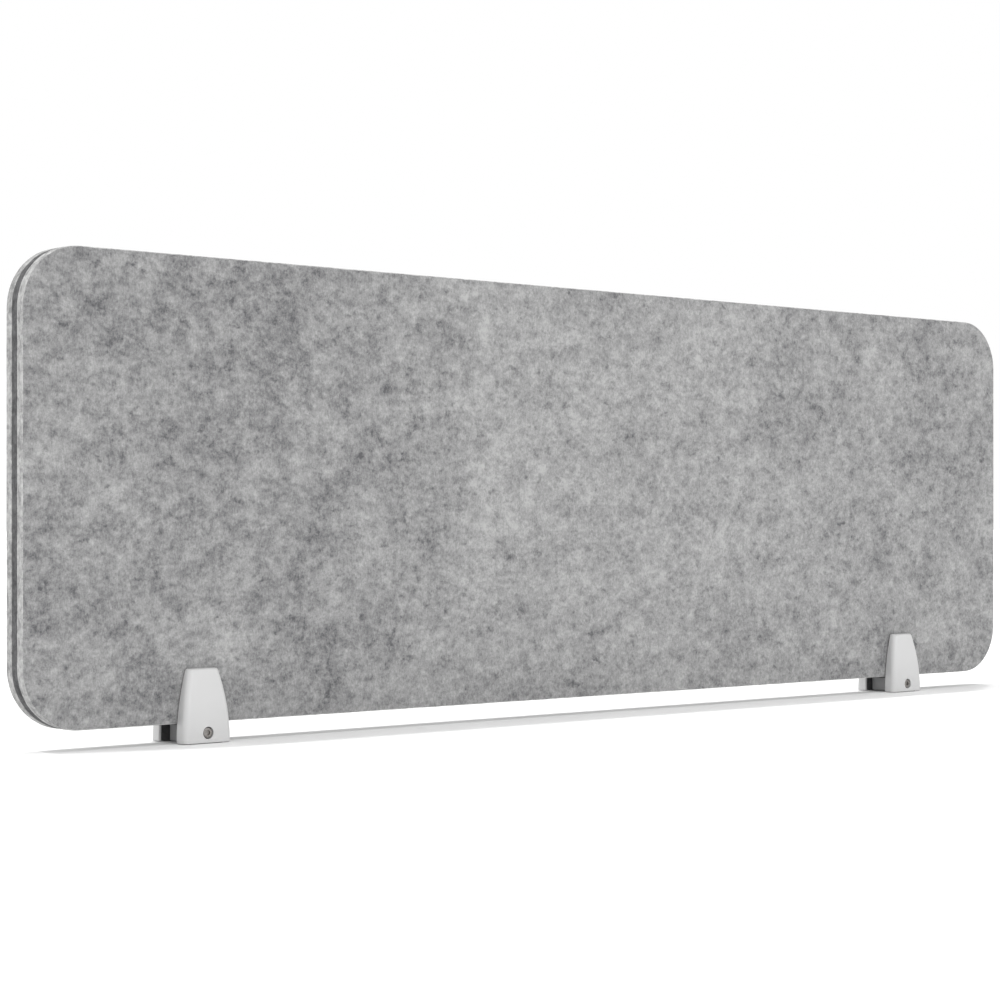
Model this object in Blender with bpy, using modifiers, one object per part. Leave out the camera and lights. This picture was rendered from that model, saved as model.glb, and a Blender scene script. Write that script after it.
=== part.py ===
"""Desk privacy panel: a felt-faced board that stands on two clamp brackets.

Frame: +X along the panel, -Y towards the front, +Z up, in metres.
Origin: centre of the floor rectangle that the object stands on.
Depths are distances from the panel's middle plane, the same for front and rear.
"""

import math

import bmesh
import bpy

MM = 0.001
GAP = 0.3 * MM
QUARTER_TURN = math.radians(90)
SMOOTH_BELOW = math.radians(30)

# Panel: a core board between two felt sheets, all with the same outline
PANEL_WIDTH = 1200 * MM
PANEL_HEIGHT = 380 * MM
PANEL_BOTTOM = 16.2 * MM
PANEL_CORNER_RADIUS = 50 * MM
PANEL_CORNER_STEPS = 14
FELT_THICKNESS = 8 * MM
CORE_THICKNESS = 8.4 * MM
FELT_EDGE_ROUND = 0.8 * MM
CORE_EDGE_ROUND = 0.3 * MM
FELT_DEPTH = CORE_THICKNESS / 2 + GAP + FELT_THICKNESS / 2
PANEL_FACE = FELT_DEPTH + FELT_THICKNESS / 2

# Brackets: their middles, measured from the panel's middle
BRACKETS = {"left": -438 * MM, "right": 438 * MM}

# Shells: two tapered mouldings per bracket, mirror images across the panel
SHELL_BOTTOM = 0.6 * MM
SHELL_TOP = 60.7 * MM
SHELL_HALF_WIDTH = 22.9 * MM
SHELL_WIDTH_TAPER = 8.5 * MM
SHELL_OUTER = PANEL_FACE + 13.2 * MM
SHELL_DEPTH_TAPER = 5.6 * MM
SHELL_CORNER_RADIUS = 5 * MM
SHELL_CORNER_STEPS = 5
SHELL_TOP_ROUND = 1.8 * MM
SHELL_BOTTOM_ROUND = 0.6 * MM
SHELL_ROUND_STEPS = 3
SHELL_SIDE_STEPS = 8
SHELL_WALL = 3 * MM
SHELL_RIM = 2.2 * MM
RIB_THICKNESS = 2 * MM
RIB_HEIGHTS = (29 * MM, 43 * MM)

# Rubber: grip pads inside the shells, a seat under the panel, feet below the shells
GRIP_PAD_THICKNESS = 1.6 * MM
GRIP_PAD_PROUD = 0.2 * MM
GRIP_PAD_CORNER = 2.5 * MM
GRIP_PAD_BOTTOM = 1 * MM
GRIP_PAD_FOOT_CORNER = 0.5 * MM
GRIP_PAD_INNER = PANEL_FACE + GAP
GRIP_PAD_MIDDLE = GRIP_PAD_INNER + GRIP_PAD_THICKNESS / 2
SHELL_INNER = GRIP_PAD_INNER + GRIP_PAD_PROUD
GRIP_POCKET_FLOOR = GRIP_PAD_INNER + GRIP_PAD_THICKNESS + GAP
SEAT_PAD_THICKNESS = 1.2 * MM
FOOT_PAD_WIDTH = 32 * MM
FOOT_PAD_DEPTH = 7 * MM
FOOT_PAD_HEIGHT = 1.8 * MM
FOOT_PAD_CORNER = 2 * MM
FOOT_PAD_MIDDLE = 19.6 * MM

# Spacer block: carries the panel between the shells, below its lower edge
BLOCK_WIDTH = 25.4 * MM
BLOCK_BOTTOM = 0.8 * MM
BLOCK_TOP = PANEL_BOTTOM - GAP - SEAT_PAD_THICKNESS - GAP
BLOCK_EDGE_ROUND = 0.6 * MM

# Clamp screw: M5 x 45 socket head screw and its nut, low in the bracket
SCREW_HEIGHT = 8.7 * MM
SCREW_RADIUS = 2.5 * MM
SCREW_LENGTH = 45 * MM
SCREW_TIP_CHAMFER = 0.6 * MM
SCREW_STEPS = 32
HEAD_RADIUS = 4.25 * MM
HEAD_HEIGHT = 5 * MM
HEAD_CHAMFER = 0.5 * MM
HEAD_RECESS = 1 * MM
HEAD_OUTER = SHELL_OUTER - HEAD_RECESS
HEAD_INNER = HEAD_OUTER - HEAD_HEIGHT
SOCKET_ACROSS_FLATS = 4 * MM
SOCKET_DEPTH = 2.5 * MM
NUT_ACROSS_FLATS = 8 * MM
NUT_HEIGHT = 4.7 * MM
NUT_RECESS = 2 * MM
NUT_INNER = SHELL_OUTER - NUT_RECESS - NUT_HEIGHT
SCREW_HOLE_RADIUS = SCREW_RADIUS + GAP
COUNTERBORE_RADIUS = 5 * MM
BOSS_RADIUS = 7.5 * MM
HOLE_STEPS = 24

# Colour, roughness and metallic value of each material
FINISHES = {
    "grey_felt": ((0.36, 0.36, 0.37), 0.95, 0.0),
    "dark_board": ((0.14, 0.14, 0.145), 0.85, 0.0),
    "white_plastic": ((0.78, 0.78, 0.78), 0.35, 0.0),
    "dark_plastic": ((0.12, 0.12, 0.125), 0.6, 0.0),
    "black_rubber": ((0.02, 0.02, 0.02), 0.9, 0.0),
    "screw_steel": ((0.36, 0.33, 0.30), 0.35, 1.0),
    "zinc_steel": ((0.60, 0.61, 0.62), 0.3, 1.0),
}


def clear_scene():
    for item in list(bpy.data.objects):
        bpy.data.objects.remove(item, do_unlink=True)
    for item in list(bpy.data.collections):
        bpy.data.collections.remove(item)


def make_collection(name):
    collection = bpy.data.collections.new(name)
    bpy.context.scene.collection.children.link(collection)
    return collection


def make_material(name):
    color, roughness, metallic = FINISHES[name]
    material = bpy.data.materials.new(name)
    material.use_nodes = True
    shader = material.node_tree.nodes["Principled BSDF"]
    shader.inputs["Base Color"].default_value = (*color, 1.0)
    shader.inputs["Roughness"].default_value = roughness
    shader.inputs["Metallic"].default_value = metallic
    material.diffuse_color = (*color, 1.0)
    return material


clear_scene()
PARTS = make_collection("desk_privacy_panel")
CUTTERS = make_collection("cutters")
MATERIALS = {name: make_material(name) for name in FINISHES}


def place(item, collection, parent, location, turned=False):
    """Link an object. turned lays its local Z axis along -Y, and its local Y axis along +Z."""
    collection.objects.link(item)
    item.parent = parent
    item.location = location
    if turned:
        item.rotation_euler = (QUARTER_TURN, 0, 0)
    return item


def add_pivot(name, parent, location):
    """An empty on a joint's axis: what moves with that joint is parented to it."""
    pivot = bpy.data.objects.new(name, None)
    pivot.empty_display_size = 20 * MM
    return place(pivot, PARTS, parent, location)


def add_part(name, mesh, material, parent=None, location=(0, 0, 0), turned=False):
    mesh.materials.append(MATERIALS[material])
    mesh.shade_smooth()
    mesh.set_sharp_from_angle(angle=SMOOTH_BELOW)
    return place(bpy.data.objects.new(name, mesh), PARTS, parent, location, turned)


def add_cutter(name, mesh, parent, location=(0, 0, 0), turned=False):
    cutter = place(bpy.data.objects.new(name, mesh), CUTTERS, parent, location, turned)
    cutter.hide_render = True
    cutter.display_type = "WIRE"
    return cutter


def cut(target, *cutters):
    for cutter in cutters:
        modifier = target.modifiers.new(cutter.name, "BOOLEAN")
        modifier.operation = "DIFFERENCE"
        modifier.solver = "EXACT"
        modifier.object = cutter


def round_edges(target, width):
    modifier = target.modifiers.new("round_edges", "BEVEL")
    modifier.width = width
    modifier.segments = 2
    modifier.limit_method = "ANGLE"
    modifier.angle_limit = math.radians(40)


def finish_mesh(name, shape):
    bmesh.ops.recalc_face_normals(shape, faces=shape.faces)
    mesh = bpy.data.meshes.new(name)
    shape.to_mesh(mesh)
    shape.free()
    return mesh


def prism(name, radius, length, sides=HOLE_STEPS):
    """A prism or cylinder along local Z, centred on its origin."""
    shape = bmesh.new()
    bmesh.ops.create_cone(
        shape, cap_ends=True, segments=sides, radius1=radius, radius2=radius, depth=length
    )
    return finish_mesh(name, shape)


def hexagon(name, across_flats, length):
    return prism(name, across_flats / 2 / math.cos(math.radians(30)), length, 6)


def box(name, width, depth, height):
    shape = bmesh.new()
    bmesh.ops.create_cube(shape, size=1)
    bmesh.ops.scale(shape, vec=(width, depth, height), verts=shape.verts)
    return finish_mesh(name, shape)


def plate(name, outline, thickness):
    """A flat outline in local X and Y, made thick along local Z about its origin."""
    curve = bpy.data.curves.new(name, "CURVE")
    curve.dimensions = "2D"
    curve.fill_mode = "BOTH"
    curve.extrude = thickness / 2
    spline = curve.splines.new("POLY")
    spline.points.add(len(outline) - 1)
    for point, (x, y) in zip(spline.points, outline):
        point.co = (x, y, 0, 1)
    spline.use_cyclic_u = True
    drawn = bpy.data.objects.new(name, curve)
    bpy.context.scene.collection.objects.link(drawn)
    evaluated = drawn.evaluated_get(bpy.context.evaluated_depsgraph_get())
    filled = bpy.data.meshes.new_from_object(evaluated)
    shape = bmesh.new()
    shape.from_mesh(filled)
    bmesh.ops.remove_doubles(shape, verts=shape.verts, dist=0.01 * MM)
    bpy.data.objects.remove(drawn, do_unlink=True)
    bpy.data.meshes.remove(filled)
    return finish_mesh(name, shape)


def rounded_rectangle(width, height, radius, steps):
    """Outline points of a rounded rectangle centred on the origin."""
    points = []
    for corner in range(4):
        side_x = 1 if corner in (0, 3) else -1
        side_y = 1 if corner in (0, 1) else -1
        for step in range(steps + 1):
            turn = QUARTER_TURN * (corner + step / steps)
            x = side_x * (width / 2 - radius) + radius * math.cos(turn)
            y = side_y * (height / 2 - radius) + radius * math.sin(turn)
            points.append((x, y))
    return points


def taper_at(z):
    """0 at the shell's foot, 1 at its top; the sides curve in as its square."""
    return ((z - SHELL_BOTTOM) / (SHELL_TOP - SHELL_BOTTOM)) ** 2


def half_width_at(z):
    return SHELL_HALF_WIDTH - SHELL_WIDTH_TAPER * taper_at(z)


def outer_depth_at(z):
    return SHELL_OUTER - SHELL_DEPTH_TAPER * taper_at(z)


def shell_levels(bottom, top, bottom_round, top_round):
    """Heights from bottom to top, each with how far the rounded ends draw the outline in."""
    levels = []
    for step in range(SHELL_ROUND_STEPS + 1):
        turn = QUARTER_TURN * step / SHELL_ROUND_STEPS
        levels.append((bottom + bottom_round * (1 - math.cos(turn)), bottom_round * (1 - math.sin(turn))))
    straight = top - top_round - bottom - bottom_round
    for step in range(1, SHELL_SIDE_STEPS):
        levels.append((bottom + bottom_round + straight * step / SHELL_SIDE_STEPS, 0))
    for step in range(SHELL_ROUND_STEPS, -1, -1):
        turn = QUARTER_TURN * step / SHELL_ROUND_STEPS
        levels.append((top - top_round * (1 - math.cos(turn)), top_round * (1 - math.sin(turn))))
    return levels


def shell_section(z, inset, inner_depth):
    """The shell's outline at one height as (x, depth) points, drawn in by inset outside."""
    half_width = half_width_at(z) - inset
    outer_depth = outer_depth_at(z) - inset
    radius = SHELL_CORNER_RADIUS - inset / 2
    right = [(half_width, inner_depth)]
    for step in range(SHELL_CORNER_STEPS + 1):
        turn = QUARTER_TURN * step / SHELL_CORNER_STEPS
        x = half_width - radius + radius * math.cos(turn)
        right.append((x, outer_depth - radius + radius * math.sin(turn)))
    return right + [(-x, depth) for x, depth in reversed(right)]


def loft(name, sections, facing):
    """A solid through (height, outline) sections, on the front (-1) or rear (1) side."""
    shape = bmesh.new()
    loops = []
    for z, outline in sections:
        loops.append([shape.verts.new((x, facing * depth, z)) for x, depth in outline])
    for lower, upper in zip(loops, loops[1:]):
        for index in range(len(lower)):
            after = (index + 1) % len(lower)
            shape.faces.new((lower[index], lower[after], upper[after], upper[index]))
    shape.faces.new(loops[0])
    shape.faces.new(loops[-1])
    return finish_mesh(name, shape)


def pocket_outline(bottom, gap=0):
    """Outline (x, z) of the pocket in a shell's inner side, less a gap at its sides and top."""
    top = SHELL_TOP - SHELL_RIM - gap
    right = []
    for z, corner_inset in shell_levels(bottom, top, GRIP_PAD_FOOT_CORNER, GRIP_PAD_CORNER):
        right.append((half_width_at(z) - SHELL_RIM - gap - corner_inset, z))
    return right + [(-x, z) for x, z in reversed(right)]


def add_panel():
    outline = rounded_rectangle(PANEL_WIDTH, PANEL_HEIGHT, PANEL_CORNER_RADIUS, PANEL_CORNER_STEPS)
    middle = PANEL_BOTTOM + PANEL_HEIGHT / 2
    for name, depth in (("front_felt_sheet", -FELT_DEPTH), ("rear_felt_sheet", FELT_DEPTH)):
        mesh = plate(name, outline, FELT_THICKNESS)
        sheet = add_part(name, mesh, "grey_felt", None, (0, depth, middle), turned=True)
        round_edges(sheet, FELT_EDGE_ROUND)
    mesh = plate("core_board", outline, CORE_THICKNESS)
    core = add_part("core_board", mesh, "dark_board", None, (0, 0, middle), turned=True)
    round_edges(core, CORE_EDGE_ROUND)


def add_cavity_cutter(name, facing, pivot):
    """The hollow of a shell, less the screw boss and the ribs that back the grip pad."""
    bottom = SHELL_BOTTOM + FOOT_PAD_HEIGHT + SHELL_WALL
    top = SHELL_TOP - SHELL_WALL
    sections = []
    for step in range(SHELL_SIDE_STEPS + 1):
        z = bottom + (top - bottom) * step / SHELL_SIDE_STEPS
        sections.append((z, shell_section(z, SHELL_WALL, PANEL_FACE)))
    cavity = add_cutter(name, loft(name, sections, facing), pivot)
    reach = 2 * SHELL_OUTER
    boss = add_cutter(
        f"{name}_boss", prism("boss", BOSS_RADIUS, reach), pivot, (0, 0, SCREW_HEIGHT), turned=True
    )
    upright = add_cutter(f"{name}_upright_rib", box("rib", RIB_THICKNESS, reach, 2 * SHELL_TOP), pivot)
    cut(cavity, boss, upright)
    for height in RIB_HEIGHTS:
        mesh = box("rib", 2 * SHELL_HALF_WIDTH, reach, RIB_THICKNESS)
        cut(cavity, add_cutter(f"{name}_level_rib", mesh, pivot, (0, 0, height)))
    return cavity


def add_shell(name, facing, pivot, screw_seat):
    """A hollow shell with a pocket open at the bottom, a recess for its foot and a screw hole."""
    sections = []
    for z, inset in shell_levels(SHELL_BOTTOM, SHELL_TOP, SHELL_BOTTOM_ROUND, SHELL_TOP_ROUND):
        sections.append((z, shell_section(z, inset, SHELL_INNER)))
    shell = add_part(name, loft(name, sections, facing), "white_plastic", pivot)
    pocket_depth = 2 * (GRIP_POCKET_FLOOR - PANEL_FACE)
    pocket = add_cutter(
        f"{name}_pad_pocket", plate("pad_pocket", pocket_outline(-SHELL_RIM), pocket_depth),
        pivot, (0, facing * PANEL_FACE, 0), turned=True,
    )
    recess_outline = rounded_rectangle(
        FOOT_PAD_WIDTH + 2 * GAP, FOOT_PAD_DEPTH + 2 * GAP, FOOT_PAD_CORNER + GAP, SHELL_CORNER_STEPS
    )
    foot_recess = add_cutter(
        f"{name}_foot_recess", plate("foot_recess", recess_outline, 2 * (FOOT_PAD_HEIGHT + GAP)),
        pivot, (0, facing * FOOT_PAD_MIDDLE, 0),
    )
    hole = add_cutter(
        f"{name}_hole", prism("hole", SCREW_HOLE_RADIUS, 2 * SHELL_OUTER),
        pivot, (0, facing * SHELL_OUTER, SCREW_HEIGHT), turned=True,
    )
    cavity = add_cavity_cutter(f"{name}_cavity", facing, pivot)
    cut(shell, cavity, pocket, foot_recess, hole, screw_seat)


def add_grip_pad(name, facing, pivot):
    """A thin pad with a hole where the screw passes."""
    mesh = plate(name, pocket_outline(GRIP_PAD_BOTTOM, GAP), GRIP_PAD_THICKNESS)
    location = (0, facing * GRIP_PAD_MIDDLE, 0)
    pad = add_part(name, mesh, "black_rubber", pivot, location, turned=True)
    hole = add_cutter(
        f"{name}_hole", prism("hole", SCREW_HOLE_RADIUS + GAP, 4 * GRIP_PAD_THICKNESS),
        pivot, (0, facing * GRIP_PAD_MIDDLE, SCREW_HEIGHT), turned=True,
    )
    cut(pad, hole)


def add_foot_pad(name, facing, pivot):
    outline = rounded_rectangle(FOOT_PAD_WIDTH, FOOT_PAD_DEPTH, FOOT_PAD_CORNER, SHELL_CORNER_STEPS)
    mesh = plate(name, outline, FOOT_PAD_HEIGHT)
    add_part(name, mesh, "black_rubber", pivot, (0, facing * FOOT_PAD_MIDDLE, FOOT_PAD_HEIGHT / 2))


def add_spacer_block(name, pivot):
    height = BLOCK_TOP - BLOCK_BOTTOM
    mesh = box(name, BLOCK_WIDTH, 2 * PANEL_FACE, height)
    block = add_part(name, mesh, "dark_plastic", pivot, (0, 0, BLOCK_BOTTOM + height / 2))
    round_edges(block, BLOCK_EDGE_ROUND)
    hole = add_cutter(
        f"{name}_hole", prism("hole", SCREW_HOLE_RADIUS, 4 * PANEL_FACE),
        pivot, (0, 0, SCREW_HEIGHT), turned=True,
    )
    cut(block, hole)


def add_seat_pad(name, pivot):
    mesh = box(name, BLOCK_WIDTH, 2 * (PANEL_FACE - GAP), SEAT_PAD_THICKNESS)
    middle = BLOCK_TOP + GAP + SEAT_PAD_THICKNESS / 2
    add_part(name, mesh, "black_rubber", pivot, (0, 0, middle))


def add_nut(name, pivot):
    """A hexagon nut with a plain bore, in the rear shell's pocket."""
    mesh = hexagon(name, NUT_ACROSS_FLATS, NUT_HEIGHT)
    location = (0, NUT_INNER + NUT_HEIGHT / 2, SCREW_HEIGHT)
    nut = add_part(name, mesh, "zinc_steel", pivot, location, turned=True)
    bore = add_cutter(
        f"{name}_bore", prism("bore", SCREW_HOLE_RADIUS, 2 * NUT_HEIGHT), pivot, location, turned=True
    )
    cut(nut, bore)


def add_screw(name, pivot):
    """A socket head screw turned about local Z, which points out of the front."""
    tip = HEAD_INNER - SCREW_LENGTH
    profile = [
        (0, HEAD_OUTER),
        (HEAD_RADIUS - HEAD_CHAMFER, HEAD_OUTER),
        (HEAD_RADIUS, HEAD_OUTER - HEAD_CHAMFER),
        (HEAD_RADIUS, HEAD_INNER),
        (SCREW_RADIUS, HEAD_INNER),
        (SCREW_RADIUS, tip + SCREW_TIP_CHAMFER),
        (SCREW_RADIUS - SCREW_TIP_CHAMFER, tip),
        (0, tip),
    ]
    shape = bmesh.new()
    points = [shape.verts.new((radius, 0, height)) for radius, height in profile]
    for upper, lower in zip(points, points[1:]):
        shape.edges.new((upper, lower))
    mesh = bpy.data.meshes.new(name)
    shape.to_mesh(mesh)
    shape.free()
    screw = add_part(name, mesh, "screw_steel", pivot, turned=True)
    turning = screw.modifiers.new("turned_profile", "SCREW")
    turning.steps = SCREW_STEPS
    turning.render_steps = SCREW_STEPS
    turning.use_merge_vertices = True
    turning.merge_threshold = 0.01 * MM
    socket = add_cutter(
        f"{name}_socket", hexagon("socket", SOCKET_ACROSS_FLATS, 2 * SOCKET_DEPTH),
        pivot, (0, -HEAD_OUTER, 0), turned=True,
    )
    cut(screw, socket)


def add_bracket(side, middle):
    """One clamp bracket: the rear half slides along the panel, the front half opens from it."""
    slide = add_pivot(f"{side}_bracket_slide", None, (middle, 0, 0))
    jaw = add_pivot(f"{side}_jaw_slide", slide, (0, 0, 0))
    screw_axis = add_pivot(f"{side}_screw_axis", jaw, (0, 0, SCREW_HEIGHT))

    head_seat_length = 2 * (SHELL_OUTER - HEAD_INNER + GAP)
    head_seat = add_cutter(
        f"{side}_head_seat", prism("head_seat", COUNTERBORE_RADIUS, head_seat_length),
        jaw, (0, -SHELL_OUTER, SCREW_HEIGHT), turned=True,
    )
    nut_seat_length = 2 * (SHELL_OUTER - NUT_INNER + GAP)
    nut_seat = add_cutter(
        f"{side}_nut_seat", hexagon("nut_seat", NUT_ACROSS_FLATS + 2 * GAP, nut_seat_length),
        slide, (0, SHELL_OUTER, SCREW_HEIGHT), turned=True,
    )
    add_shell(f"{side}_front_shell", -1, jaw, head_seat)
    add_grip_pad(f"{side}_front_grip_pad", -1, jaw)
    add_foot_pad(f"{side}_front_foot_pad", -1, jaw)
    add_screw(f"{side}_clamp_screw", screw_axis)

    add_shell(f"{side}_rear_shell", 1, slide, nut_seat)
    add_grip_pad(f"{side}_rear_grip_pad", 1, slide)
    add_foot_pad(f"{side}_rear_foot_pad", 1, slide)
    add_spacer_block(f"{side}_spacer_block", slide)
    add_seat_pad(f"{side}_seat_pad", slide)
    add_nut(f"{side}_nut", slide)


add_panel()
for bracket_side, bracket_middle in BRACKETS.items():
    add_bracket(bracket_side, bracket_middle)
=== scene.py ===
"""Looks of the desk privacy panel: felt sheets, moulded clamp shells, screws and studio.

Everything is in metres in the CAD frame: +X along the panel, -Y to the front, +Z up.
"""

import math

import bmesh
import bpy
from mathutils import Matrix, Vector, noise


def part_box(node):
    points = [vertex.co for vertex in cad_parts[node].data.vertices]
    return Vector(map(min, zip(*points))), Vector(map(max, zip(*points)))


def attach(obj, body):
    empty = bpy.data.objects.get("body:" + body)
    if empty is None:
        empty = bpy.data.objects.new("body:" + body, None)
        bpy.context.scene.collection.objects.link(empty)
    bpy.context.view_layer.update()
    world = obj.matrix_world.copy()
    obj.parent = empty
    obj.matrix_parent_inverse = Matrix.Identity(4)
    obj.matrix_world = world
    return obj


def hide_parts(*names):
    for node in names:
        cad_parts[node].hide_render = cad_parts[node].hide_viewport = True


MM = 0.001
QUARTER_TURN = math.radians(90)
SMOOTH_BELOW = math.radians(35)
BOARD_SMOOTH_BELOW = math.radians(60)

# Booleans: how far a cutter runs past the surface, and what is mended after the cut
CUTTER_OVERSHOOT = 1 * MM
WELD = 0.0005 * MM
LARGEST_HOLE_SIDES = 8

# Felt boards: how fine the face grid is, and how uneven the pressed felt lies
CORNER_RADIUS = 50 * MM
GRID_STEP = 4 * MM
BOARD_CORNER_STEPS = 16
BOARD_EDGE_STEPS = 4
BOARD_SIDE_STEPS = 3
INNER_ROUND_SHARE = 0.5
FELT_EDGE_ROUND = 0.8 * MM
CORE_EDGE_ROUND = 0.4 * MM
FELT_UNEVEN = 0.16 * MM
FELT_UNEVEN_SPAN = 45 * MM
FELT_CLUMPS = 0.07 * MM
FELT_CLUMPS_SPAN = 7 * MM
EDGE_UNEVEN = 0.12 * MM
EDGE_UNEVEN_SPANS = (3 * MM, 11 * MM)
CORE_RECESS = 0.25 * MM
BOND_GAP = 0.05 * MM

# Noises in the materials: marks per metre, then detail, roughness and distortion
BROAD = (2, 1)
CLOUDS = (17, 2.5, 0.6, 0.3)
BODY = (55, 4.8, 0.95, 0.08)
KNOTS = (130, 1.8, 0.8, 0.1)
CLUMPS = (110, 2.5, 0.7, 0.3)
UPRIGHT_GRAIN = (850, 1.5, 0.6)
FIBRES = (1500, 2, 0.6, 1.0)
LAYERS = (700, 3, 0.7, 0.6)
TUFTS = (330, 3, 0.7, 0.5)
PATCHES = (40, 2, 0.7, 0.3)
MOTTLE = (170, 2.5, 0.75, 0.3)
FLOW_MARKS = (60, 3, 0.5, 0.6)
MOULD_GRAIN = (2600, 2, 0.6)
RUBBER_MOTTLE = (300, 4, 0.6)
RUBBER_GRAIN = (1800, 3, 0.6)
TARNISH = (500, 4, 0.65, 0.5)
STEEL_GRAIN = (4000, 2, 0.5)
FLOOR_TONE = (3, 3, 0.5)
NOISE_MEAN = 0.5
NOISE_SPAN = (0.3, 0.7)
CLUMP_SPAN = (0.56, 0.76)

# How marks are drawn out: a small number makes them long that way; turns are in degrees
FELT_DRAWN = (0.78, 1, 1)
GRAIN_DRAWN = (1, 1, 0.45)
FIBRE_DRAWN = (1, 1, 0.12)
FIBRE_TURNS = (12, 71, 130)
LAYERS_DRAWN = (0.3, 2.2, 0.3)
PATCHES_DRAWN = (1, 2.5, 1)

# Bumps: strength and height
FELT_BUMP = (0.45, 0.5 * MM)
EDGE_BUMP = (0.7, 0.6 * MM)
RUBBER_BUMP = (0.4, 0.05 * MM)
STEEL_BUMP = (0.25, 0.02 * MM)
MOULD_GRAIN_HEIGHT = 0.03 * MM

# Tones: levels about which the noises vary, and colours from dark to light
FELT_LEVEL = 0.52
EDGE_LEVEL = 0.5
FELT_TONES = ((0.13, 0.13, 0.137), (0.332, 0.332, 0.333), (0.53, 0.53, 0.526))
# Black rubber tones: real black on the feet; on the grip and seat pads they also stand in for the
# shade in the shells' hollows and under the panel, which is partly painted shade
RUBBER_AND_SHADE_TONES = ((0.032, 0.032, 0.033), (0.062, 0.062, 0.064))
FLOOR_TONES = ((0.862, 0.862, 0.862), (0.872, 0.872, 0.872))
FLOW_SHADE = 0.985
PLASTIC_ROUGHNESS_SPREAD = (-0.04, 0.06)
STEEL_ROUGHNESS_SPREAD = (0.1, -0.05)

# Shells: the same taper as the CAD shells, made finer
SHELL_WIDTH_TAPER = 8.5 * MM
SHELL_DEPTH_TAPER = 5.6 * MM
SHELL_CORNER_RADIUS = 5 * MM
SHELL_CORNER_STEPS = 14
SHELL_TOP_ROUND = 1.8 * MM
SHELL_FOOT_ROUND = 0.35 * MM
SHELL_ROUND_STEPS = 7
SHELL_SIDE_STEPS = 40
SHELL_RIM = 2.2 * MM
SHELL_RIM_ROUND = 1.1 * MM
SHELL_RIM_STEPS = 3
POCKET_CLEARANCE = 0.3 * MM
POCKET_CORNER = 2.5 * MM
POCKET_RUN_OUT = 4 * MM
POCKET_STEPS = 24
HOLE_LIP = 0.45 * MM
HOLE_LIP_STEPS = 6
HOLE_STEPS = 72

# Screw: M5 socket head, with its nut
SCREW_HEIGHT = 8.7 * MM
COUNTERBORE_RADIUS = 5 * MM
SCREW_HOLE_RADIUS = 2.8 * MM
HEAD_RADIUS = 4.25 * MM
HEAD_HEIGHT = 5 * MM
HEAD_ROUND = 0.5 * MM
HEAD_ROUND_STEPS = 5
SOCKET_ACROSS_FLATS = 4 * MM
SOCKET_DEPTH = 1.3 * MM
THREAD_RADIUS = 2.5 * MM
THREAD_PITCH = 0.8 * MM
THREAD_DEPTH = 0.45 * MM
THREAD_TURNS = 28
THREAD_STEPS = 48
# One thread ridge: share of the pitch, depth below the crest
THREAD_RIDGE = ((0.1, 0), (0.5, THREAD_DEPTH), (0.9, 0))
TIP_TAPER_LENGTH = 0.3 * THREAD_PITCH
TIP_TAPER_DEPTH = 1.4 * THREAD_DEPTH
HALF_HEX_TURN = math.radians(30)
NUT_ACROSS_FLATS = 8 * MM
NUT_FACE_SHARE = 0.97
NUT_HOLE_RADIUS = 2.65 * MM
NUT_HOLE_CHAMFER = 0.3 * MM
SEAT_CLEARANCE = 0.3 * MM

# Rubber feet, with grooves along their undersides
FOOT_CORNER = 2 * MM
FOOT_CLEARANCE = 0.3 * MM
FOOT_RECESS_CORNER = 2.3 * MM
FOOT_EDGE_ROUND = 0.3 * MM
FOOT_CORNER_STEPS = 8
FOOT_EDGE_STEPS = 3
FOOT_GROOVES = 3
GROOVE_HALF_WIDTH = 0.3 * MM
GROOVE_DEPTH = 0.35 * MM
GROOVE_OVERSHOOT = 0.5 * MM
GROOVE_END_GAP = 2 * MM
GROOVE_CORNER = 0.25 * MM
GROOVE_EDGE_ROUND = 0.15 * MM

# Studio: how far the floor reaches, and the surround's colour by height
FLOOR_REACH = 30
SURROUND_STOPS = [(0.25, (1, 1, 1)), (0.75, (0.58, 0.58, 0.58))]
# Name, direction, spread in degrees and strength of each far light
DISTANT_LIGHTS = [
    ("overhead", (0, 0, 3), 40, 0.8),
    ("key_left", (-1.36, 0.42, 3), 3, 1.1),
    ("key_right", (0.76, 0.42, 3), 3, 0.8),
    ("side", (-3, 0, 1.2), 50, 0.4),
    ("front", (0, -3, 1.2), 40, 0.87),
]

# Camera: the photograph's viewpoint
CAMERA_PLACE = (-1.4923, -1.6221, 0.1821)
CAMERA_HEADING = math.radians(-40.53)
CAMERA_LENS = 84.35
CAMERA_SENSOR_WIDTH = 36
CAMERA_SHIFT = 0.0189
CAMERA_REACH = 100

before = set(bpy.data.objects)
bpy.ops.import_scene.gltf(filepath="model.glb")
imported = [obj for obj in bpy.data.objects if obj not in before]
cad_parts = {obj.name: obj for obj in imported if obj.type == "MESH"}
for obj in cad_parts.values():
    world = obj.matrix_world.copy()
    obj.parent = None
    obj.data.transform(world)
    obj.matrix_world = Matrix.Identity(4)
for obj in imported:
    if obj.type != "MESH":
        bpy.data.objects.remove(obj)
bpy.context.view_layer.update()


# ---------------------------------------------------------------- materials


def add_node(tree, kind, inputs=None, **settings):
    """A shader node; inputs are numbers, colours or the sockets that feed them."""
    node = tree.nodes.new(kind)
    for name, value in settings.items():
        setattr(node, name, value)
    for name, value in (inputs or {}).items():
        if isinstance(value, bpy.types.NodeSocket):
            tree.links.new(value, node.inputs[name])
        else:
            node.inputs[name].default_value = value
    return node


def add_ramp(tree, factor, stops):
    """A colour ramp through (place, colour) stops."""
    ramp = add_node(tree, "ShaderNodeValToRGB", {"Fac": factor})
    elements = ramp.color_ramp.elements
    while len(elements) < len(stops):
        elements.new(0.5)
    for element, (place, color) in zip(elements, stops):
        element.position = place
        element.color = (*color, 1.0)
    return ramp.outputs["Color"]


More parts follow.
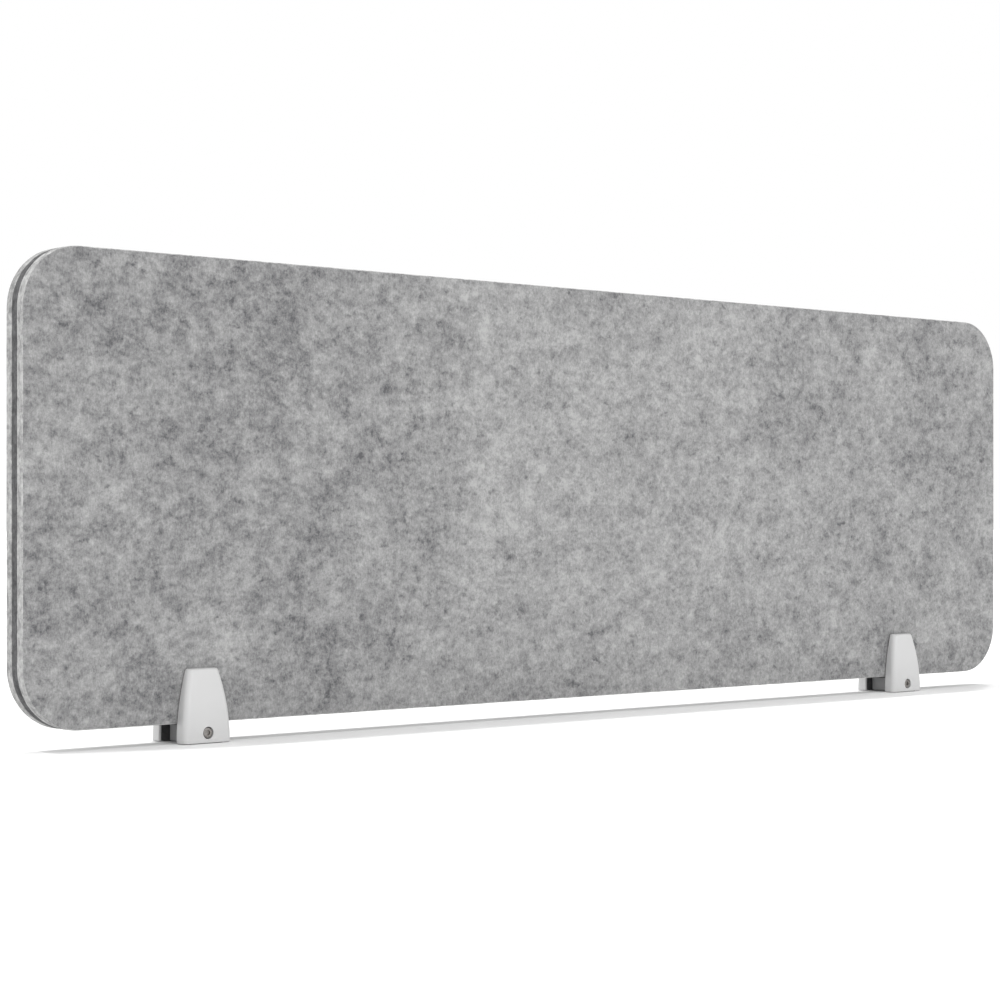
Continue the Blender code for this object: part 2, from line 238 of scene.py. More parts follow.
def add_noise(tree, vector, scale, detail, roughness=0.5, distortion=0.0):
    sizes = {
        "Vector": vector, "Scale": scale, "Detail": detail,
        "Roughness": roughness, "Distortion": distortion,
    }
    return add_node(tree, "ShaderNodeTexNoise", sizes).outputs["Fac"]


def add_math(tree, operation, first, second):
    return add_node(tree, "ShaderNodeMath", {0: first, 1: second}, operation=operation).outputs[0]


def weighted_sum(tree, terms):
    """Sum of (socket, weight) pairs."""
    total = None
    for socket, weight in terms:
        part = add_math(tree, "MULTIPLY", socket, weight)
        total = part if total is None else add_math(tree, "ADD", total, part)
    return total


def add_range(tree, value, span, to_span, interpolation="LINEAR"):
    """value from the span (low, high) to the other span."""
    sizes = {
        "Value": value, "From Min": span[0], "From Max": span[1],
        "To Min": to_span[0], "To Max": to_span[1],
    }
    ranged = add_node(tree, "ShaderNodeMapRange", sizes, interpolation_type=interpolation)
    return ranged.outputs["Result"]


def add_bump(tree, shader, height, strength, distance):
    sizes = {"Height": height, "Strength": strength, "Distance": distance}
    bump = add_node(tree, "ShaderNodeBump", sizes)
    tree.links.new(bump.outputs["Normal"], shader.inputs["Normal"])


def mapped(tree, place, scale=(1, 1, 1), shift=(0, 0, 0)):
    """Coordinates scaled and shifted; a small scale draws marks out."""
    sizes = {"Vector": place, "Location": shift, "Scale": scale}
    return add_node(tree, "ShaderNodeMapping", sizes).outputs["Vector"]


def turned_in_plane(tree, place, turn):
    """Coordinates turned in the panel's plane."""
    sizes = {"Vector": place, "Rotation": (0, turn, 0)}
    return add_node(tree, "ShaderNodeMapping", sizes).outputs["Vector"]


def new_material(name, roughness, metallic=0.0):
    """A material, its node tree and shader, and the object's coordinates."""
    material = bpy.data.materials.new(name)
    material.use_nodes = True
    tree = material.node_tree
    shader = tree.nodes["Principled BSDF"]
    shader.inputs["Roughness"].default_value = roughness
    shader.inputs["Metallic"].default_value = metallic
    place = add_node(tree, "ShaderNodeTexCoord").outputs["Object"]
    return material, tree, shader, place


def color_by(tree, shader, factor, *colors):
    """Colours the shader by the colours in turn, spread evenly over a noise's usual span."""
    low, high = NOISE_SPAN
    stops = []
    for index, color in enumerate(colors):
        stops.append((low + (high - low) * index / (len(colors) - 1), color))
    tree.links.new(add_ramp(tree, factor, stops), shader.inputs["Base Color"])


def roughen_by(tree, shader, factor, roughness, spread):
    """Lets the shader's roughness follow a noise, spread about its value."""
    to_span = (roughness + spread[0], roughness + spread[1])
    tree.links.new(add_range(tree, factor, NOISE_SPAN, to_span), shader.inputs["Roughness"])


def felt_face_material(name, shade):
    """Pressed felt: broad and soft clouds, a mottled body, small dark clumps, an upright grain."""
    material, tree, shader, place = new_material(name, roughness=0.95)
    shader.inputs["Specular IOR Level"].default_value = 0.15
    shader.inputs["Sheen Weight"].default_value = 0.15
    shader.inputs["Sheen Roughness"].default_value = 0.5
    drawn = mapped(tree, place, FELT_DRAWN)
    broad = add_noise(tree, mapped(tree, place, shift=(7, 0, 0)), *BROAD)
    clouds = add_noise(tree, drawn, *CLOUDS)
    body = add_noise(tree, drawn, *BODY)
    knots = add_noise(tree, mapped(tree, place, FELT_DRAWN, shift=(3, 0, 5)), *KNOTS)
    clump_noise = add_noise(tree, mapped(tree, place, FELT_DRAWN, shift=(7, 0, 1)), *CLUMPS)
    clumps = add_range(tree, clump_noise, CLUMP_SPAN, (0.0, 1.0), "SMOOTHSTEP")
    grain = add_noise(tree, mapped(tree, place, GRAIN_DRAWN), *UPRIGHT_GRAIN)
    fibres = []
    for turn_degrees in FIBRE_TURNS:
        turned = turned_in_plane(tree, place, math.radians(turn_degrees))
        fibres.append(add_noise(tree, mapped(tree, turned, FIBRE_DRAWN), *FIBRES))
    parts = [(broad, -0.2), (clouds, 0.25), (body, 0.62), (knots, 0.38), (grain, 0.26)]
    parts += [(fibre, 0.12) for fibre in fibres]
    level = FELT_LEVEL - NOISE_MEAN * sum(weight for _, weight in parts)
    parts.append((clumps, -0.13))
    tone = add_math(tree, "ADD", weighted_sum(tree, parts), level)
    tones = [tuple(shade * channel for channel in color) for color in FELT_TONES]
    color_by(tree, shader, tone, *tones)
    reliefs = [(knots, 0.35), (clumps, -0.15)] + [(fibre, 0.18) for fibre in fibres]
    add_bump(tree, shader, weighted_sum(tree, reliefs), *FELT_BUMP)
    return material


def board_edge_material(name, dark, light):
    """A cut edge: layers of fibre lying along the sheet, in lighter and darker patches."""
    material, tree, shader, place = new_material(name, roughness=0.95)
    shader.inputs["Specular IOR Level"].default_value = 0.12
    layers = add_noise(tree, mapped(tree, place, LAYERS_DRAWN), *LAYERS)
    tufts = add_noise(tree, place, *TUFTS)
    fibre = weighted_sum(tree, [(layers, 0.55), (tufts, 0.45)])
    patches = add_noise(tree, mapped(tree, place, PATCHES_DRAWN), *PATCHES)
    mottle = add_noise(tree, place, *MOTTLE)
    parts = [(fibre, 0.9), (patches, 0.8), (mottle, 0.9)]
    level = EDGE_LEVEL - NOISE_MEAN * sum(weight for _, weight in parts)
    tone = add_math(tree, "ADD", weighted_sum(tree, parts), level)
    color_by(tree, shader, tone, dark, light)
    add_bump(tree, shader, fibre, *EDGE_BUMP)
    return material


def plastic_material(name, color, roughness, grain):
    """Moulded plastic with a fine spark-eroded grain and faint flow marks."""
    material, tree, shader, place = new_material(name, roughness)
    flow = add_noise(tree, place, *FLOW_MARKS)
    fine = add_noise(tree, place, *MOULD_GRAIN)
    color_by(tree, shader, flow, tuple(channel * FLOW_SHADE for channel in color), color)
    roughen_by(tree, shader, flow, roughness, PLASTIC_ROUGHNESS_SPREAD)
    add_bump(tree, shader, fine, grain, MOULD_GRAIN_HEIGHT)
    return material


def rubber_and_shade_material(name):
    """Matt black rubber, faintly mottled and finely rough; on the grip and seat pads its black is
    partly painted shade.
    """
    material, tree, shader, place = new_material(name, roughness=0.85)
    color_by(tree, shader, add_noise(tree, place, *RUBBER_MOTTLE), *RUBBER_AND_SHADE_TONES)
    add_bump(tree, shader, add_noise(tree, place, *RUBBER_GRAIN), *RUBBER_BUMP)
    return material


def metal_material(name, dark, light, roughness):
    """Machined steel, slightly tarnished and finely rough."""
    material, tree, shader, place = new_material(name, roughness, metallic=1.0)
    tarnish = add_noise(tree, place, *TARNISH)
    color_by(tree, shader, tarnish, dark, light)
    roughen_by(tree, shader, tarnish, roughness, STEEL_ROUGHNESS_SPREAD)
    add_bump(tree, shader, add_noise(tree, place, *STEEL_GRAIN), *STEEL_BUMP)
    return material


def floor_material():
    """A pale matt floor, very faintly uneven in tone."""
    material, tree, shader, place = new_material("pale_floor", roughness=0.9)
    shader.inputs["Specular IOR Level"].default_value = 0.1
    color_by(tree, shader, add_noise(tree, place, *FLOOR_TONE), *FLOOR_TONES)
    return material


FELT_FACE = felt_face_material("grey_felt", shade=0.73)
FELT_EDGE = board_edge_material("grey_felt_edge", (0.22, 0.22, 0.22), (0.465, 0.465, 0.46))
CORE = board_edge_material("dark_board", (0.06, 0.06, 0.062), (0.132, 0.132, 0.134))
WHITE_PLASTIC = plastic_material(
    "white_plastic", (0.53, 0.53, 0.53), roughness=0.4, grain=0.25
)
DARK_PLASTIC = plastic_material(
    "dark_plastic", (0.29, 0.29, 0.293), roughness=0.55, grain=0.35
)
# Black rubber: real on the feet, partly painted shade on the grip and seat pads
RUBBER_AND_PAINTED_SHADE = rubber_and_shade_material("black_rubber")
SCREW_STEEL = metal_material(
    "screw_steel", (0.19, 0.181, 0.172), (0.325, 0.308, 0.294), roughness=0.35
)
ZINC_STEEL = metal_material(
    "zinc_steel", (0.46, 0.46, 0.45), (0.66, 0.67, 0.68), roughness=0.3
)


# ---------------------------------------------------------------- mesh helpers


def finish_mesh(name, shape, *materials, smooth_below=SMOOTH_BELOW):
    """Turns a bmesh into an object with smooth faces and sharp corners."""
    bmesh.ops.recalc_face_normals(shape, faces=shape.faces)
    mesh = bpy.data.meshes.new(name)
    shape.to_mesh(mesh)
    shape.free()
    for look in materials:
        mesh.materials.append(look)
    mesh.shade_smooth()
    mesh.set_sharp_from_angle(angle=smooth_below)
    piece = bpy.data.objects.new(name, mesh)
    bpy.context.scene.collection.objects.link(piece)
    return piece


def bridge(shape, first, second, closed=True):
    """Quads between two loops of vertices."""
    count = len(first)
    for index in range(count if closed else count - 1):
        after = (index + 1) % count
        shape.faces.new((first[index], first[after], second[after], second[index]))


def loft(shape, loops):
    """A closed skin over a row of loops, with a cap at each end."""
    for lower, upper in zip(loops, loops[1:]):
        bridge(shape, lower, upper)
    shape.faces.new(loops[0])
    shape.faces.new(loops[-1])


def mend(mesh):
    """Welds the doubled points and closes the small holes that a boolean can leave."""
    shape = bmesh.new()
    shape.from_mesh(mesh)
    bmesh.ops.remove_doubles(shape, verts=shape.verts, dist=WELD)
    bmesh.ops.dissolve_degenerate(shape, edges=shape.edges, dist=WELD)
    open_edges = [edge for edge in shape.edges if edge.is_boundary]
    bmesh.ops.holes_fill(shape, edges=open_edges, sides=LARGEST_HOLE_SIDES)
    bmesh.ops.recalc_face_normals(shape, faces=shape.faces)
    shape.to_mesh(mesh)
    shape.free()


def combine(target, tools, operation="DIFFERENCE"):
    """Applies each tool to the target as a boolean, keeps the result and removes the tools."""
    for tool in tools:
        modifier = target.modifiers.new(tool.name, "BOOLEAN")
        modifier.operation = operation
        modifier.solver = "EXACT"
        modifier.object = tool
    evaluated = target.evaluated_get(bpy.context.evaluated_depsgraph_get())
    mesh = bpy.data.meshes.new_from_object(evaluated)
    mend(mesh)
    target.modifiers.clear()
    target.data = mesh
    mesh.shade_smooth()
    mesh.set_sharp_from_angle(angle=SMOOTH_BELOW)
    for tool in tools:
        bpy.data.objects.remove(tool, do_unlink=True)


def lathe(name, profile, center, facing, steps=HOLE_STEPS, materials=()):
    """A solid turned about an axis along Y. profile is (radius, distance along facing) pairs."""
    shape = bmesh.new()
    loops = []
    for radius, distance in profile:
        y = facing * distance
        if radius == 0:
            loops.append([shape.verts.new((center.x, y, center.z))])
            continue
        loop = []
        for step in range(steps):
            turn = 2 * math.pi * step / steps
            x = center.x + radius * math.cos(turn)
            loop.append(shape.verts.new((x, y, center.z + radius * math.sin(turn))))
        loops.append(loop)
    for first, second in zip(loops, loops[1:]):
        if len(first) == 1 or len(second) == 1:
            tip, ring = (first[0], second) if len(first) == 1 else (second[0], first)
            for index in range(steps):
                shape.faces.new((tip, ring[index], ring[(index + 1) % steps]))
        else:
            bridge(shape, first, second)
    return finish_mesh(name, shape, *materials)


def rounded_corner(radius, steps):
    """(inset, drop) pairs that turn a right angle, from the face to the side."""
    pairs = []
    for step in range(steps + 1):
        turn = QUARTER_TURN * step / steps
        pairs.append((radius * (1 - math.sin(turn)), radius * (1 - math.cos(turn))))
    return pairs


# ---------------------------------------------------------------- felt boards


def outline_rows(low, high):
    """Rows (half width, z, outward direction at the row's end) up the rounded outline."""
    half_width = (high.x - low.x) / 2
    rows = []
    for step in range(BOARD_CORNER_STEPS + 1):
        turn = QUARTER_TURN * (1 - step / BOARD_CORNER_STEPS)
        direction = Vector((math.cos(turn), -math.sin(turn)))
        rows.append((half_width - CORNER_RADIUS, low.z + CORNER_RADIUS, direction))
    straight = high.z - low.z - 2 * CORNER_RADIUS
    steps = round(straight / GRID_STEP)
    for step in range(1, steps):
        z = low.z + CORNER_RADIUS + straight * step / steps
        rows.append((half_width - CORNER_RADIUS, z, Vector((1, 0))))
    for step in range(BOARD_CORNER_STEPS + 1):
        turn = QUARTER_TURN * step / BOARD_CORNER_STEPS
        direction = Vector((math.cos(turn), math.sin(turn)))
        rows.append((half_width - CORNER_RADIUS, high.z - CORNER_RADIUS, direction))
    return rows


def uneven(point, size):
    """A smooth pseudo-random number about 0, varying over the given size."""
    return noise.noise(Vector(point) / size)


def face_grid(shape, rows, outer, facing, columns, reach, rough):
    """The outer face: rows of vertices, each as wide as the outline there."""
    grid = []
    for half_width, z, direction in rows:
        row_half = half_width + direction.x * reach
        row_z = z + direction.y * reach
        row = []
        for column in range(columns + 1):
            x = -row_half + 2 * row_half * column / columns
            lift = 0
            if rough:
                place = (x, outer, row_z)
                lift = FELT_UNEVEN * uneven(place, FELT_UNEVEN_SPAN)
                lift += FELT_CLUMPS * uneven(place, FELT_CLUMPS_SPAN)
            row.append(shape.verts.new((x, outer + facing * lift, row_z)))
        grid.append(row)
    for lower, upper in zip(grid, grid[1:]):
        bridge(shape, lower, upper, closed=False)
    return grid


def grid_rim(grid, rows):
    """The grid's border vertices with their outward directions, in order round the outline."""
    rim = []
    for vertex in grid[0][1:-1]:
        rim.append((vertex, Vector((0, -1))))
    for row, (_, _, direction) in zip(grid, rows):
        rim.append((row[-1], direction))
    for vertex in reversed(grid[-1][1:-1]):
        rim.append((vertex, Vector((0, 1))))
    for row, (_, _, direction) in zip(reversed(grid), reversed(rows)):
        rim.append((row[0], Vector((-direction.x, direction.y))))
    return rim


def side_levels(edge_round, thickness):
    """(growth, drop) of each ring, from the rounded outer edge to the bevelled inner one."""
    rounding = rounded_corner(edge_round, BOARD_EDGE_STEPS)[1:]
    levels = [(edge_round - inset, drop) for inset, drop in rounding]
    for step in range(1, BOARD_SIDE_STEPS + 1):
        straight = thickness - (1 + INNER_ROUND_SHARE) * edge_round
        levels.append((edge_round, edge_round + straight * step / BOARD_SIDE_STEPS))
    levels.append((INNER_ROUND_SHARE * edge_round, thickness))
    return levels


def board(name, low, high, facing, edge_round, face_look, edge_look, recess=0.0, rough_face=True):
    """A board with a fine outer face grid, rounded edges and a plain inner face.

    facing is -1 or 1: the side of the middle plane that the outer face looks to.
    """
    outer = low.y if facing < 0 else high.y
    inner = high.y if facing < 0 else low.y
    rows = outline_rows(low, high)
    columns = round((high.x - low.x) / GRID_STEP)
    reach = CORNER_RADIUS - edge_round - recess
    shape = bmesh.new()
    grid = face_grid(shape, rows, outer, facing, columns, reach, rough_face)
    rim = grid_rim(grid, rows)
    rings = [[vertex for vertex, _ in rim]]
    for grow, drop in side_levels(edge_round, abs(inner - outer)):
        ring = []
        for vertex, direction in rim:
            base = Vector((vertex.co.x, vertex.co.z))
            place = (base.x, outer - facing * drop, base.y)
            unevenness = sum(uneven(place, span) for span in EDGE_UNEVEN_SPANS)
            wobble = EDGE_UNEVEN * unevenness * grow / edge_round
            point = base + direction * (grow + wobble)
            ring.append(shape.verts.new((point.x, outer - facing * drop, point.y)))
        rings.append(ring)
    face_count = len(shape.faces)
    for first, second in zip(rings, rings[1:]):
        bridge(shape, first, second)
    for face in list(shape.faces)[face_count:]:
        face.material_index = 1
    shape.faces.new(rings[-1])
    return finish_mesh(name, shape, face_look, edge_look, smooth_below=BOARD_SMOOTH_BELOW)


def make_panel():
    """Two felt sheets on a core board that lies a little back from their edges."""
    core_low, core_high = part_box("core_board")
    for side, facing in (("front", -1), ("rear", 1)):
        node = f"{side}_felt_sheet"
        low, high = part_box(node)
        if facing < 0:
            high.y = core_low.y - BOND_GAP
        else:
            low.y = core_high.y + BOND_GAP
        sheet = board(f"{side}_felt", low, high, facing, FELT_EDGE_ROUND, FELT_FACE, FELT_EDGE)
        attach(sheet, "panel")
        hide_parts(node)
    core = board(
        "core", core_low, core_high, 1, CORE_EDGE_ROUND, CORE, CORE,
        recess=CORE_RECESS, rough_face=False,
    )
    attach(core, "panel")
    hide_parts("core_board")


# ---------------------------------------------------------------- bracket shells


def shell_profile(low, high):
    """Functions of height for the shell's half width and depth, as in the CAD shell."""
    half_width = (high.x - low.x) / 2
    height = high.z - low.z

    def taper(z):
        return ((z - low.z) / height) ** 2

    def half_width_at(z):
        return half_width - SHELL_WIDTH_TAPER * taper(z)

    def taken_off_at(z):
        return SHELL_DEPTH_TAPER * taper(z)

    return half_width_at, taken_off_at


def shell_levels(low, high):
    """Heights from foot to top, each with how far the rounded ends draw the outline in."""
    levels = []
    for inset, drop in rounded_corner(SHELL_FOOT_ROUND, SHELL_ROUND_STEPS):
        levels.append((low.z + drop, inset))
    straight = high.z - low.z - SHELL_FOOT_ROUND - SHELL_TOP_ROUND
    for step in range(1, SHELL_SIDE_STEPS):
        levels.append((low.z + SHELL_FOOT_ROUND + straight * step / SHELL_SIDE_STEPS, 0))
    for inset, drop in reversed(rounded_corner(SHELL_TOP_ROUND, SHELL_ROUND_STEPS)):
        levels.append((high.z - drop, inset))
    return levels


def shell_section(half_width, inner, outer, inset):
    """Closed outline (x, depth) of a shell: small rounds at the rim, large ones outside."""
    half_width -= inset
    outer -= inset
    right = []
    for corner_inset, drop in rounded_corner(SHELL_RIM_ROUND, SHELL_RIM_STEPS):
        right.append((half_width - corner_inset, inner + drop))
    radius = SHELL_CORNER_RADIUS - inset / 2
    for step in range(SHELL_CORNER_STEPS + 1):
        turn = QUARTER_TURN * step / SHELL_CORNER_STEPS
        x = half_width - radius + radius * math.cos(turn)
        right.append((x, outer - radius + radius * math.sin(turn)))
    return right + [(-x, depth) for x, depth in reversed(right)]


def upright_loft(name, center_x, facing, sections, *materials):
    """A loft through (z, outline) sections on one side of the panel."""
    shape = bmesh.new()
    loops = []
    for z, outline in sections:
        loops.append([shape.verts.new((center_x + x, facing * y, z)) for x, y in outline])
    loft(shape, loops)
    return finish_mesh(name, shape, *materials)


def pad_pocket_cutter(node, facing, half_width_at):
    """The pocket round a grip pad: its outline grown by the clearance, open at the bottom."""
    low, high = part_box(node)
    bottom, top = low.z - POCKET_RUN_OUT, high.z + POCKET_CLEARANCE
    near = min(abs(low.y), abs(high.y)) - CUTTER_OVERSHOOT
    far = max(abs(low.y), abs(high.y)) + POCKET_CLEARANCE
    sections = []
    for step in range(POCKET_STEPS + 1):
        z = bottom + (top - bottom) * 0.5 * (1 - math.cos(math.pi * step / POCKET_STEPS))
        edge = top - z
        inset = 0
        if edge < POCKET_CORNER:
            rise = POCKET_CORNER - edge
            inset = POCKET_CORNER - math.sqrt(max(0.0, POCKET_CORNER**2 - rise**2))
        half = half_width_at(z) - SHELL_RIM - inset
        sections.append((z, ((-half, near), (half, near), (half, far), (-half, far))))
    return upright_loft("pocket", (low.x + high.x) / 2, facing, sections)


def foot_recess_cutter(node):
    """The recess round a foot pad; its upright corners come out as square notches."""
    low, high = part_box(node)
    shape = bmesh.new()
    bmesh.ops.create_cube(shape, size=1)
    size = high - low + Vector((1, 1, 1)) * (2 * FOOT_CLEARANCE)
    bmesh.ops.scale(shape, vec=size, verts=shape.verts)
    uprights = [edge for edge in shape.edges if abs(edge.verts[0].co.z - edge.verts[1].co.z) > MM]
    bmesh.ops.bevel(
        shape, geom=uprights, offset=FOOT_RECESS_CORNER, segments=FOOT_CORNER_STEPS,
        affect="EDGES",
    )
    bmesh.ops.translate(shape, vec=(low + high) / 2, verts=shape.verts)
    return finish_mesh("recess", shape)


def counterbore_cutter(center, facing, radius, mouth, floor):
    """A round hole from its floor to its mouth, with a rounded lip."""
    profile = [(0, floor), (radius, floor)]
    for step in range(HOLE_LIP_STEPS + 1):
        turn = QUARTER_TURN * step / HOLE_LIP_STEPS
        grown = radius + HOLE_LIP * (1 - math.cos(turn))
        profile.append((grown, mouth - HOLE_LIP + HOLE_LIP * math.sin(turn)))
    last_radius = profile[-1][0]
    profile.append((last_radius, mouth + 2 * CUTTER_OVERSHOOT))
    profile.append((0, mouth + 2 * CUTTER_OVERSHOOT))
    return lathe("counterbore", profile, center, facing)


def hex_prism(center, facing, across_flats, near, far, *materials):
    """A hexagonal prism along Y from near to far, points up and down."""
    shape = bmesh.new()
    radius = across_flats / 2 / math.cos(HALF_HEX_TURN)
    loops = []
    for distance in (near, far):
        loop = []
        for step in range(6):
            turn = math.radians(60 * step)
            x = center.x + radius * math.sin(turn)
            z = center.z + radius * math.cos(turn)
            loop.append(shape.verts.new((x, facing * distance, z)))
        loops.append(loop)
    loft(shape, loops)
    return finish_mesh("hexagon", shape, *materials)


def make_shell(side, half, facing, body):
    """One shell: front or rear half of a bracket."""
    node = f"{side}_{half}_shell"
    low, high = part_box(node)
    center_x = (low.x + high.x) / 2
    inner = min(abs(low.y), abs(high.y))
    outer = max(abs(low.y), abs(high.y))
    half_width_at, taken_off_at = shell_profile(low, high)
    sections = []
    for z, inset in shell_levels(low, high):
        outline = shell_section(half_width_at(z), inner, outer - taken_off_at(z), inset)
        sections.append((z, outline))
    shell = upright_loft(f"{side}_{half}_cover", center_x, facing, sections, WHITE_PLASTIC)
    axis = Vector((center_x, 0, SCREW_HEIGHT))
    hole = [(0, 0), (SCREW_HOLE_RADIUS, 0), (SCREW_HOLE_RADIUS, 2 * outer), (0, 2 * outer)]
    through = lathe("through", hole, axis, facing)
    if half == "front":
        head_low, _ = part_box(f"{side}_clamp_screw")
        floor = abs(head_low.y) - HEAD_HEIGHT - SEAT_CLEARANCE
        seat = counterbore_cutter(axis, facing, COUNTERBORE_RADIUS, outer, floor)
    else:
        nut_low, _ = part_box(f"{side}_nut")
        seat = hex_prism(
            axis, facing, NUT_ACROSS_FLATS + 2 * SEAT_CLEARANCE, nut_low.y - SEAT_CLEARANCE,
            2 * outer,
        )
    pocket = pad_pocket_cutter(f"{side}_{half}_grip_pad", facing, half_width_at)
    recess = foot_recess_cutter(f"{side}_{half}_foot_pad")
    combine(shell, [pocket, recess, through, seat])
    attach(shell, body)
    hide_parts(node)


# ---------------------------------------------------------------- screw and nut


def thread_profile(radius, start, stop):
    """(radius, distance) pairs of thread ridges from start to stop along the axis."""
    turns = round(abs(stop - start) / THREAD_PITCH)
    pitch = (stop - start) / turns
    profile = []
    for turn in range(turns):
        ridge = start + turn * pitch
        for share, depth in THREAD_RIDGE:
            profile.append((radius - depth, ridge + share * pitch))
    return profile


def make_screw(side):
    """A socket head screw, threaded from its tip for part of its length."""
    node = f"{side}_clamp_screw"
    low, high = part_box(node)
    axis = Vector(((low.x + high.x) / 2, 0, SCREW_HEIGHT))
    head_out = -low.y
    head_in = head_out - HEAD_HEIGHT
    tip = -high.y
    profile = [(0, head_out)]
    for inset, drop in rounded_corner(HEAD_ROUND, HEAD_ROUND_STEPS):
        profile.append((HEAD_RADIUS - inset, head_out - drop))
    thread_start = tip + THREAD_TURNS * THREAD_PITCH
    profile += [(HEAD_RADIUS, head_in), (THREAD_RADIUS, head_in), (THREAD_RADIUS, thread_start)]
    profile += thread_profile(THREAD_RADIUS, thread_start, tip + THREAD_PITCH)
    profile.append((THREAD_RADIUS - THREAD_DEPTH, tip + TIP_TAPER_LENGTH))
    profile += [(THREAD_RADIUS - TIP_TAPER_DEPTH, tip), (0, tip)]
    screw = lathe(f"{side}_screw", profile, axis, -1, THREAD_STEPS, [SCREW_STEEL])
    socket = hex_prism(
        axis, -1, SOCKET_ACROSS_FLATS, head_out - SOCKET_DEPTH, head_out + CUTTER_OVERSHOOT
    )
    combine(screw, [socket])
    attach(screw, f"{side}_screw")
    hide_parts(node)


def make_nut(side):
    """A hexagon nut with turned corners and a threaded hole."""
    node = f"{side}_nut"
    low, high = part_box(node)
    near, far = low.y, high.y
    axis = Vector(((low.x + high.x) / 2, 0, SCREW_HEIGHT))
    nut = hex_prism(axis, 1, NUT_ACROSS_FLATS, near, far, ZINC_STEEL)
    nut.name = f"{side}_hex_nut"
    flat_radius = NUT_ACROSS_FLATS / 2
    face_radius = flat_radius * NUT_FACE_SHARE
    corner_radius = flat_radius / math.cos(HALF_HEX_TURN)
    chamfer = (corner_radius - flat_radius) * math.tan(HALF_HEX_TURN)
    turned = [
        (0, near), (face_radius, near), (corner_radius, near + chamfer),
        (corner_radius, far - chamfer), (face_radius, far), (0, far),
    ]
    combine(nut, [lathe("turned", turned, axis, 1)], "INTERSECT")
    mouth = NUT_HOLE_RADIUS + NUT_HOLE_CHAMFER
    hole = [(0, near - CUTTER_OVERSHOOT), (mouth, near - CUTTER_OVERSHOOT), (mouth, near)]
    hole += thread_profile(
        NUT_HOLE_RADIUS + THREAD_DEPTH / 2, near + NUT_HOLE_CHAMFER, far - NUT_HOLE_CHAMFER
    )
    hole += [(mouth, far), (mouth, far + CUTTER_OVERSHOOT), (0, far + CUTTER_OVERSHOOT)]
    combine(nut, [lathe("hole", hole, axis, 1, THREAD_STEPS)])
    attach(nut, f"{side}_bracket")
    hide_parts(node)


# ---------------------------------------------------------------- pads and block


def rounded_slab(name, low, high, corner, edge_round, look):
    """A slab with rounded plan corners and rounded top and bottom edges."""
    center = (low + high) / 2
    half = (high - low) / 2
    outline = []
    for quarter, (sign_x, sign_y) in enumerate(((1, 1), (-1, 1), (-1, -1), (1, -1))):
        middle = Vector((sign_x * (half.x - corner), sign_y * (half.y - corner)))
        for step in range(FOOT_CORNER_STEPS + 1):
            turn = QUARTER_TURN * (quarter + step / FOOT_CORNER_STEPS)
            outline.append((middle, Vector((math.cos(turn), math.sin(turn)))))
    rounding = rounded_corner(edge_round, FOOT_EDGE_STEPS)
    levels = [(low.z + drop, inset) for inset, drop in rounding]
    levels += [(high.z - drop, inset) for inset, drop in reversed(rounding)]
    shape = bmesh.new()
    loops = []
    for z, inset in levels:
        loop = []
        for middle, direction in outline:
            point = middle + direction * (corner - inset)
            loop.append(shape.verts.new((center.x + point.x, center.y + point.y, z)))
        loops.append(loop)
    loft(shape, loops)
    return finish_mesh(name, shape, look)


def make_foot_pad(side, half, body):
    """A rubber foot whose underside has grooves along it."""
    node = f"{side}_{half}_foot_pad"
    low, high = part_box(node)
    foot = rounded_slab(f"{side}_{half}_foot", low, high, FOOT_CORNER, FOOT_EDGE_ROUND, RUBBER_AND_PAINTED_SHADE)
    pitch = (high.y - low.y) / (FOOT_GROOVES + 1)
    grooves = []
    for index in range(FOOT_GROOVES):
        y = low.y + pitch * (index + 1)
        start = (low.x + GROOVE_END_GAP, y - GROOVE_HALF_WIDTH, low.z - GROOVE_OVERSHOOT)
        end = (high.x - GROOVE_END_GAP, y + GROOVE_HALF_WIDTH, low.z + GROOVE_DEPTH)
        grooves.append(rounded_slab(
            "groove", Vector(start), Vector(end), GROOVE_CORNER, GROOVE_EDGE_ROUND, RUBBER_AND_PAINTED_SHADE
        ))
    combine(foot, grooves)
    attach(foot, body)
    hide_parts(node)


def dress_cad_nodes():
    """Materials for the CAD pieces that stay as they are; the black rubber on the grip and seat
    pads is partly painted shade.
    """
    # The grip pads and the seat pad are black rubber, and their black also stands in for the shade
    # in the shells' hollows and in the gap under the panel, which is partly painted shade
    looks = {"grip_pad": RUBBER_AND_PAINTED_SHADE, "seat_pad": RUBBER_AND_PAINTED_SHADE, "spacer_block": DARK_PLASTIC}
    for name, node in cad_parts.items():
        for ending, material in looks.items():
            if name.endswith(ending):
                node.data.materials.clear()
                node.data.materials.append(material)


# ---------------------------------------------------------------- studio


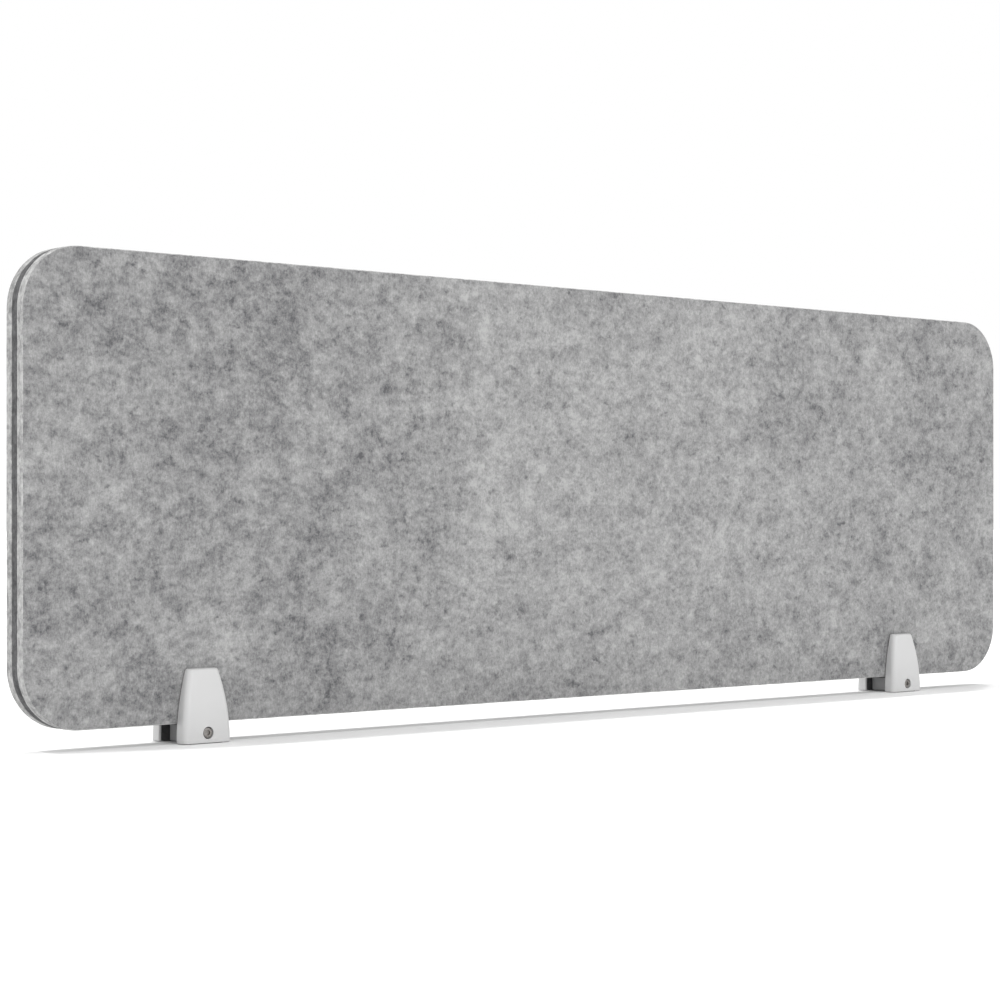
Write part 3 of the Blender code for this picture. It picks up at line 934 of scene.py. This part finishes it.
def make_floor():
    shape = bmesh.new()
    bmesh.ops.create_grid(shape, x_segments=1, y_segments=1, size=FLOOR_REACH)
    floor = finish_mesh("floor", shape, floor_material())


def add_distant_light(name, place, spread_degrees, strength):
    """A light far away in the direction of place, softer the wider its spread."""
    light = bpy.data.lights.new(name, "SUN")
    light.angle = math.radians(spread_degrees)
    light.energy = strength
    lamp = bpy.data.objects.new(name, light)
    bpy.context.scene.collection.objects.link(lamp)
    lamp.location = place
    lamp.rotation_euler = (-Vector(place)).to_track_quat("-Z", "Y").to_euler()


def make_world():
    """A white surround that dims towards the zenith, like a cove under a studio ceiling."""
    world = bpy.data.worlds.new("studio")
    bpy.context.scene.world = world
    world.use_nodes = True
    tree = world.node_tree
    place = add_node(tree, "ShaderNodeTexCoord").outputs["Generated"]
    height = add_node(tree, "ShaderNodeSeparateXYZ", {"Vector": place}).outputs["Z"]
    glow = add_ramp(tree, height, SURROUND_STOPS)
    tree.links.new(glow, tree.nodes["Background"].inputs["Color"])


def make_studio():
    make_world()
    for name, place, spread, strength in DISTANT_LIGHTS:
        add_distant_light(name, place, spread, strength)
    bpy.context.scene.view_settings.view_transform = "Standard"


def make_camera():
    lens = bpy.data.cameras.new("camera")
    lens.lens = CAMERA_LENS
    lens.sensor_width = CAMERA_SENSOR_WIDTH
    lens.shift_y = CAMERA_SHIFT
    lens.clip_end = CAMERA_REACH
    camera = bpy.data.objects.new("camera", lens)
    camera.location = CAMERA_PLACE
    camera.rotation_euler = (QUARTER_TURN, 0, CAMERA_HEADING)
    bpy.context.scene.collection.objects.link(camera)
    bpy.context.scene.camera = camera


make_camera()
make_studio()
make_floor()
make_panel()
for bracket in ("left", "right"):
    make_shell(bracket, "front", -1, f"{bracket}_jaw")
    make_shell(bracket, "rear", 1, f"{bracket}_bracket")
    make_foot_pad(bracket, "front", f"{bracket}_jaw")
    make_foot_pad(bracket, "rear", f"{bracket}_bracket")
    make_screw(bracket)
    make_nut(bracket)
dress_cad_nodes()
